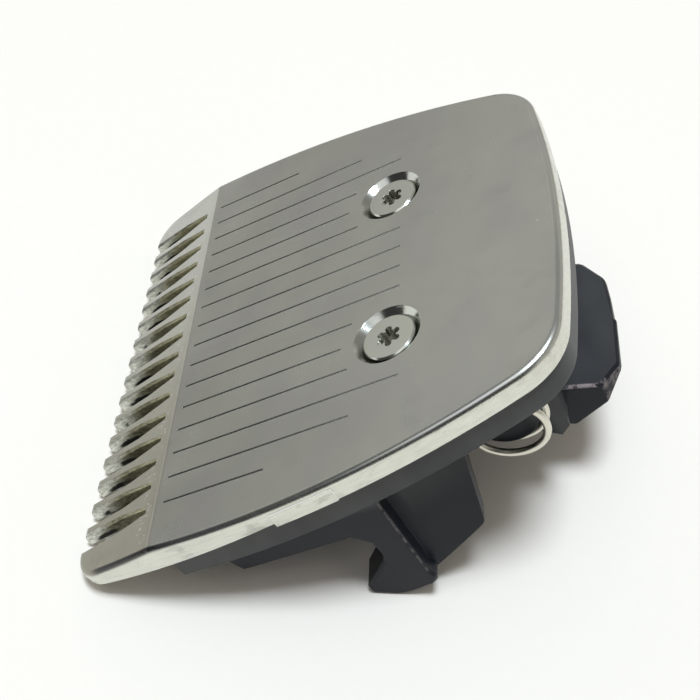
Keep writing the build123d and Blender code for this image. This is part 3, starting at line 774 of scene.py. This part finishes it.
class CLIPPER_OT_guard(bpy.types.Operator):
    """Finish the guard plate as satin steel with oily slots, painted shade, highlights and reflections, and
    dark lines, and round its rim
    """

    bl_idname = "clipper.guard"
    bl_label = "Guard plate"

    def execute(self, context):
        look = context.scene.clipper_guard
        material, finish = new_finish("guard_steel", GuardFinish)
        rim = finish.step(finish.up, RIM_TILT)
        slot = finish.slots()
        line = finish.lines()
        tab_highlight = finish.tabs()
        dimple, dimple_shade = finish.dimples()
        pale = finish.step(finish.y, LINES_PALE)

        colour = finish.mix(rim, finish.flat_top(look), finish.rim_wall(look))
        colour = finish.mix(slot, colour, finish.slot_walls(look))
        # Painted glints at the slots' roots
        colour = finish.mix(0.5 * finish.root_glints() * (1 - slot), colour, look.root_glint)
        colour = finish.mix(line, colour, finish.tone(look.line, 0.8 + 1.5 * pale))
        # Painted shade and dark reflections in the screw dimples
        colour = finish.mix(0.85 * dimple_shade, colour, look.dimple_shade)
        # Painted reflection: a dark line along the strip's near edge
        colour = finish.mix(0.85 * finish.seam(), colour, look.seam)
        # Painted highlight on the tab ledges, which are also made hardly metallic
        colour = finish.mix(tab_highlight, colour, look.tab_highlight)
        rough = look.roughness + 0.1 * (finish.cloud - 0.5) + 0.06 * (finish.satin - 0.5) + 0.03 * finish.blot
        rough = rough - 0.12 * dimple + 0.05 * rim * finish.streak + 0.35 * line + 0.12 * slot
        relief = 0.5 * finish.satin + 0.3 * rim * finish.streak + 3.0 * slot * finish.cut
        shader = finish.principled(
            base_color=colour,
            metallic=1 - 0.9 * tab_highlight,
            roughness=rough,
            normal=finish.rough_face(relief, look.relief, normal=finish.broken_edges(look.edge)),
        )
        finish.surface(shader)
        put_on(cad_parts["guard_plate"], material)
        self.round_rim(context, look, material)
        return {"FINISHED"}

    def round_rim(self, context, look, material):
        """Lay a smooth bead over the facets of the guard's rounded rim."""
        sections = [rim_section(*place, look.rim_steps) for place in rim_path(look.rim_step / MM)]
        ring = len(sections[0])
        corners = [corner for section in sections for corner in section]
        faces = [tuple(range(ring)), tuple(reversed(range(len(corners) - ring, len(corners))))]
        for i in range(len(sections) - 1):
            for k in range(ring):
                first = i * ring + k
                second = i * ring + (k + 1) % ring
                faces.append((first, first + ring, second + ring, second))
        mesh = bpy.data.meshes.new("guard_rim")
        mesh.from_pydata(corners, [], faces)
        mesh.validate()
        rim = bpy.data.objects.new("guard_rim", mesh)
        context.scene.collection.objects.link(rim)
        put_on(rim, material)
        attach(rim, "head")


class CLIPPER_OT_screws(bpy.types.Operator):
    """Finish the screws as turned nickel with painted shade in the star sockets"""

    bl_idname = "clipper.screws"
    bl_label = "Guard screws"

    def execute(self, context):
        look = context.scene.clipper_screws
        material, finish = new_finish("screw_nickel")
        x, y, z = finish.split(finish.blade_place())
        from_middle = finish.length(abs(x) - SCREW_X, y - SCREW_Y)
        turned = finish.node("ShaderNodeCombineXYZ", None, {"X": from_middle, "Y": x * RING_WANDER, "Z": 0.0})
        rings = finish.noise(turned, RINGS)
        # Painted shade in the star sockets
        socket = finish.step(z, SOCKET_SHADE_DEPTH) * finish.step(from_middle, SOCKET_SHADE_EDGE)
        shader = finish.principled(
            base_color=finish.mix(socket, finish.tone(look.nickel, 0.92 + 0.16 * rings), look.socket),
            metallic=1.0,
            roughness=look.roughness + 0.12 * (rings - 0.5) + 0.15 * socket,
            normal=finish.rough_face(rings, look.relief, normal=finish.broken_edges(look.edge)),
        )
        finish.surface(shader)
        put_on(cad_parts["guard_screws"], material)
        return {"FINISHED"}


def moulded(name, colour, look, with_sheen_and_edges=False):
    """Satin moulded plastic with fine texture, flow marks and rubbed patches. With sheen and edges, it has
    painted sheen and pale edges with chips.
    """
    material, finish = new_finish(name)
    place = finish.blade_place()
    texture = finish.noise(place, MOULD_TEXTURE)
    flow = finish.noise(place, MOULD_FLOW)
    rub = finish.step(finish.noise(place, MOULD_RUB), RUB_SHARE)
    plastic = finish.tone(colour, 0.85 + 0.3 * flow + 0.5 * rub)
    if with_sheen_and_edges:
        # Painted sheen on the flange, wings, ribs and lug top
        plastic = finish.mix(holder_sheen(finish, place, flow), plastic, look.dust)
        plastic = finish.mix(holder_pale_edges(finish, place), plastic, look.pale_edges)
    shader = finish.principled(
        base_color=plastic,
        roughness=look.roughness + 0.12 * (flow - 0.5) + 0.1 * (texture - 0.5) - 0.05 * rub,
        specular_ior_level=look.gloss,
        normal=finish.rough_face(texture, look.texture, normal=finish.broken_edges(look.edge)),
    )
    finish.surface(shader)
    return material


def holder_sheen(finish, place, flow):
    """Painted sheen on the holder: lighter grey on the flange under the rim, the wings, the rear ribs and the
    top of the lug.
    """
    x, y, z = finish.split(place)
    up = finish.split(finish.facing())[2]
    side = finish.step(abs(x), SHEEN_SIDE)
    flange = finish.step(z, SHEEN_FLANGE) * finish.clamp(side + 1.4 * finish.step(y, SHEEN_REAR))
    wing = finish.step(z, SHEEN_WING_Z) * side * finish.step(y, SHEEN_WING_FRONT)
    ribs = finish.step(y, SHEEN_RIB_FRONT) * finish.step(abs(x), SHEEN_RIB_INNER) * finish.step(z, SHEEN_RIB_TOP)
    top = finish.step(up, SHEEN_LUG_TILT) * finish.step(y, SHEEN_LUG_FRONT)
    # Painted sheen, summed by place
    dust = 0.75 * flange + 0.4 * wing * (1 - flange) + 0.6 * ribs + 0.42 * top
    return finish.clamp(dust * (0.6 + 0.8 * (flow - 0.3)))


def holder_pale_edges(finish, place):
    """Pale edges of the holder: the legs' rear edges, and the lug's top edges and corner facets."""
    x, y, z = finish.split(place)
    side, back, _ = finish.split(finish.facing())
    chips = finish.noise(place, CHIPS)
    leg_y = y - LEG_REAR - LEG_SLOPE * (z - LEG_TOP)
    leg = finish.step(finish.length(abs(x) - LEG_SIDE, leg_y), LEG_EDGE) * finish.step(chips, LEG_CHIPS)
    leg = leg * finish.step(z, LEG_EDGE_LOW) * finish.step(z, LEG_EDGE_HIGH)
    lug_z = z - LUG_CREST_Z + LUG_SLOPE * (y - LUG_CREST_Y)
    lug = finish.step(finish.length(abs(x) - LUG_SIDE, lug_z), LUG_EDGE) * finish.step(chips, LUG_CHIPS)
    lug = lug * finish.step(y, LUG_EDGE_FRONT) * finish.step(y, LUG_EDGE_REAR)
    corner = finish.step(abs(side), LUG_CORNER_TILT) * finish.step(back, LUG_CORNER_TILT)
    corner = corner * finish.step(y, LUG_CORNER_FRONT) * finish.step(abs(x), LUG_CORNER_SIDE)
    corner = corner * finish.step(chips, LUG_CORNER_CHIPS)
    return leg + lug + 0.55 * corner


class CLIPPER_OT_holder(bpy.types.Operator):
    """Finish the holder as black moulded plastic with painted sheen and pale edges"""

    bl_idname = "clipper.holder"
    bl_label = "Blade holder"

    def execute(self, context):
        look = context.scene.clipper_holder
        put_on(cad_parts["blade_holder"], moulded("holder_plastic", look.plastic, look, with_sheen_and_edges=True))
        return {"FINISHED"}


class CLIPPER_OT_bridge(bpy.types.Operator):
    """Finish the drive bridge as dark moulded plastic"""

    bl_idname = "clipper.bridge"
    bl_label = "Drive bridge"

    def execute(self, context):
        look = context.scene.clipper_holder
        put_on(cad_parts["drive_bridge"], moulded("bridge_plastic", look.bridge, look))
        return {"FINISHED"}


class CLIPPER_OT_cutter(bpy.types.Operator):
    """Finish the moving cutter as ground steel, with its grinding marks across the teeth"""

    bl_idname = "clipper.cutter"
    bl_label = "Moving cutter"

    def execute(self, context):
        look = context.scene.clipper_cutter
        material, finish = new_finish("cutter_steel")
        place = finish.blade_place()
        grind = finish.noise(place, GRINDING)
        oil = finish.noise(place, CUTTER_OIL)
        shader = finish.principled(
            base_color=finish.tone(look.steel, 0.75 + 0.3 * grind + 0.2 * oil),
            metallic=1.0,
            roughness=look.roughness + 0.15 * (grind - 0.5) - 0.1 * (oil - 0.5),
            normal=finish.rough_face(grind, look.relief, normal=finish.broken_edges(look.edge)),
        )
        finish.surface(shader)
        put_on(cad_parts["moving_cutter"], material)
        return {"FINISHED"}


def spring_line(look, side):
    """The wire's middle line on one side: anchor end, leaning half turns, last quarter turn, pressing arm."""
    radius = look.radius / MM
    pitch = look.pitch / MM
    line = [(COIL_X, COIL_Y - radius, ANCHOR_TOP)]
    line.append((COIL_X, COIL_Y - radius, (ANCHOR_TOP + COIL_Z) / 2))
    for k in range(COIL_HALF_TURNS):
        start = COIL_X + k * pitch / 2
        way = -1 if k % 2 else 1
        for i in range(look.points):
            turn = pi * i / look.points
            x = start + pitch / 4 * (1 - cos(turn))
            line.append((x, COIL_Y - way * radius * cos(turn), COIL_Z - way * radius * sin(turn)))
    end = COIL_X + COIL_HALF_TURNS * pitch / 2
    quarter = look.points // 2
    for i in range(quarter + 1):
        turn = pi / 2 * i / quarter
        line.append((end, COIL_Y + radius * cos(turn), COIL_Z + radius * sin(turn)))
    for share in ARM_SHARES:
        line.append((end, COIL_Y - share * look.arm / MM, COIL_Z + radius))
    return [blade_point(side * x, y, z) for x, y, z in line]


def spring_steel(look):
    """Bright drawn wire with fine scratches."""
    material, finish = new_finish("spring_steel")
    place = finish.blade_place()
    drawn = finish.noise(place, DRAWN_WIRE)
    dull = finish.noise(place, DULL_WIRE)
    shader = finish.principled(
        base_color=finish.tone(look.steel, 0.86 + 0.16 * drawn + 0.12 * dull),
        metallic=1.0,
        roughness=look.roughness + 0.12 * drawn,
        normal=finish.rough_face(drawn, look.relief),
    )
    finish.surface(shader)
    return material


class CLIPPER_OT_springs(bpy.types.Operator):
    """Wind both torsion springs from round wire"""

    bl_idname = "clipper.springs"
    bl_label = "Springs"

    def execute(self, context):
        look = context.scene.clipper_springs
        material = spring_steel(look)
        for node, side in (("spring_right", 1), ("spring_left", -1)):
            curve = bpy.data.curves.new(node + "_wire", "CURVE")
            curve.dimensions = "3D"
            curve.bevel_depth = look.wire / 2
            curve.bevel_resolution = WIRE_ROUNDNESS
            curve.resolution_u = WIRE_SMOOTHNESS
            curve.use_fill_caps = True
            line = spring_line(look, side)
            spline = curve.splines.new("NURBS")
            spline.points.add(len(line) - 1)
            for point, place in zip(spline.points, line):
                point.co = (*place, 1.0)
            spline.order_u = WIRE_ORDER
            spline.use_endpoint_u = True
            piece = bpy.data.objects.new(node + "_wire", curve)
            context.scene.collection.objects.link(piece)
            curve.materials.append(material)
            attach(piece, "head")
            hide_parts(node)
        return {"FINISHED"}


class CLIPPER_OT_stage(bpy.types.Operator):
    """Lay the pale floor, light the studio and set up the camera"""

    bl_idname = "clipper.stage"
    bl_label = "Stage"

    def execute(self, context):
        look = context.scene.clipper_stage
        self.lay_floor(context, look)
        self.light_studio(context, look)
        self.hang_key(context, look)
        self.set_camera(context, look)
        context.scene.view_settings.view_transform = "Standard"
        return {"FINISHED"}

    def lay_floor(self, context, look):
        """A matt pale floor. It is clear from below, so that the underside can be looked at."""
        mesh = bpy.data.meshes.new("floor")
        signs = ((-1, -1), (1, -1), (1, 1), (-1, 1))
        corners = [(x * FLOOR_HALF, y * FLOOR_HALF, 0) for x, y in signs]
        mesh.from_pydata(corners, [], [(0, 1, 2, 3)])
        floor = bpy.data.objects.new("floor", mesh)
        context.scene.collection.objects.link(floor)
        material, finish = new_finish("floor_white")
        paper = finish.noise(finish.node("ShaderNodeTexCoord", output="Object"), PAPER)
        matt = finish.principled(
            base_color=finish.tone(look.floor, 0.99 + 0.02 * paper),
            roughness=1.0,
            specular_ior_level=0.0,
        )
        white = finish.node("ShaderNodeEmission", None, {"Color": opaque(grey(1.0)), "Strength": 1.0})
        rays = finish.node("ShaderNodeLightPath", output="Is Camera Ray")
        seen = rays + rays.output("Is Glossy Ray") + rays.output("Is Transmission Ray")
        top = finish.node("ShaderNodeMixShader", None, {0: seen * look.glow, 1: matt, 2: white})
        below = finish.node("ShaderNodeNewGeometry", output="Backfacing")
        clear = finish.node("ShaderNodeBsdfTransparent")
        finish.surface(finish.node("ShaderNodeMixShader", None, {0: below, 1: top, 2: clear}))
        mesh.materials.append(material)

    def light_studio(self, context, look):
        """Grey walls round the head, with a white sweep, a dark side and two soft window panes."""
        world = bpy.data.worlds.new("studio")
        context.scene.world = world
        world.use_nodes = True
        finish = Finish(world.node_tree)
        way = finish.node("ShaderNodeTexCoord", output="Generated")
        stops = [
            (0.0, look.horizon),
            (SWEEP_TOP, look.horizon),
            (WALL_FOOT, look.walls),
            (WALL_TOP, look.walls),
            (CORNICE_HEIGHT, look.cornice),
            (CEILING_EDGE, look.ceiling),
            (1.0, look.ceiling),
        ]
        walls = finish.node("ShaderNodeValToRGB", {"stops": stops}, {"Fac": finish.split(way)[2]})
        shade = finish.step(finish.dot(way, Vector(DARK_WAY).normalized()), DARK_EDGE)
        colour = finish.mix(shade, finish.tone(look.tint, walls), grey(look.dark))
        for pane_way in PANE_WAYS:
            pane = finish.step(finish.dot(way, Vector(pane_way).normalized()), PANE_EDGE)
            colour = finish.mix(pane, colour, grey(look.window))
        light = finish.node("ShaderNodeBackground", None, {"Color": colour, "Strength": 1.0})
        finish.node("ShaderNodeOutputWorld", None, {"Surface": light})

    def hang_key(self, context, look):
        """The soft key lamp, which points at the origin, under the middle of the head."""
        lamp = bpy.data.lights.new("key", "AREA")
        lamp.shape = "DISK"
        lamp.size = look.key_size
        lamp.energy = look.key_power
        lamp.color = look.key_tint
        key = bpy.data.objects.new("key", lamp)
        key.location = look.key_place
        key.rotation_mode = "QUATERNION"
        key.rotation_quaternion = (-Vector(look.key_place)).to_track_quat("-Z", "Y")
        context.scene.collection.objects.link(key)

    def set_camera(self, context, look):
        """The camera, rolled a little about the way it looks."""
        data = bpy.data.cameras.new("camera")
        data.lens = look.lens
        data.clip_start = NEAREST
        camera = bpy.data.objects.new("camera", data)
        camera.location = look.camera_place
        camera.rotation_mode = "QUATERNION"
        ahead = Vector(look.camera_aim) - Vector(look.camera_place)
        level = ahead.to_track_quat("-Z", "Y")
        camera.rotation_quaternion = level @ Quaternion((0, 0, 1), look.camera_roll)
        context.scene.collection.objects.link(camera)
        context.scene.camera = camera


class CLIPPER_PT_head(bpy.types.Panel):
    """Settings and steps of the clipper head"""

    bl_idname = "CLIPPER_PT_head"
    bl_label = "Clipper head"
    bl_space_type = "VIEW_3D"
    bl_region_type = "UI"
    bl_category = "Clipper head"

    def draw(self, context):
        for step, group in STEPS:
            box = self.layout.box()
            box.operator(step.bl_idname)
            settings = getattr(context.scene, group)
            for name in settings.__annotations__:
                box.prop(settings, name)


GROUPS = {
    "clipper_stage": StageSettings,
    "clipper_guard": GuardSettings,
    "clipper_screws": ScrewSettings,
    "clipper_holder": HolderSettings,
    "clipper_cutter": CutterSettings,
    "clipper_springs": SpringSettings,
}
STEPS = (
    (CLIPPER_OT_stage, "clipper_stage"),
    (CLIPPER_OT_guard, "clipper_guard"),
    (CLIPPER_OT_screws, "clipper_screws"),
    (CLIPPER_OT_holder, "clipper_holder"),
    (CLIPPER_OT_bridge, "clipper_holder"),
    (CLIPPER_OT_cutter, "clipper_cutter"),
    (CLIPPER_OT_springs, "clipper_springs"),
)


def register():
    for name, group in GROUPS.items():
        bpy.utils.register_class(group)
        setattr(bpy.types.Scene, name, PointerProperty(type=group))
    for step, _ in STEPS:
        bpy.utils.register_class(step)
    bpy.utils.register_class(CLIPPER_PT_head)


def unregister():
    bpy.utils.unregister_class(CLIPPER_PT_head)
    for step, _ in reversed(STEPS):
        bpy.utils.unregister_class(step)
    for name, group in GROUPS.items():
        delattr(bpy.types.Scene, name)
        bpy.utils.unregister_class(group)


def main():
    register()
    bpy.ops.clipper.stage()
    bpy.ops.clipper.guard()
    bpy.ops.clipper.screws()
    bpy.ops.clipper.holder()
    bpy.ops.clipper.bridge()
    bpy.ops.clipper.cutter()
    bpy.ops.clipper.springs()


if __name__ == "__main__":
    main()
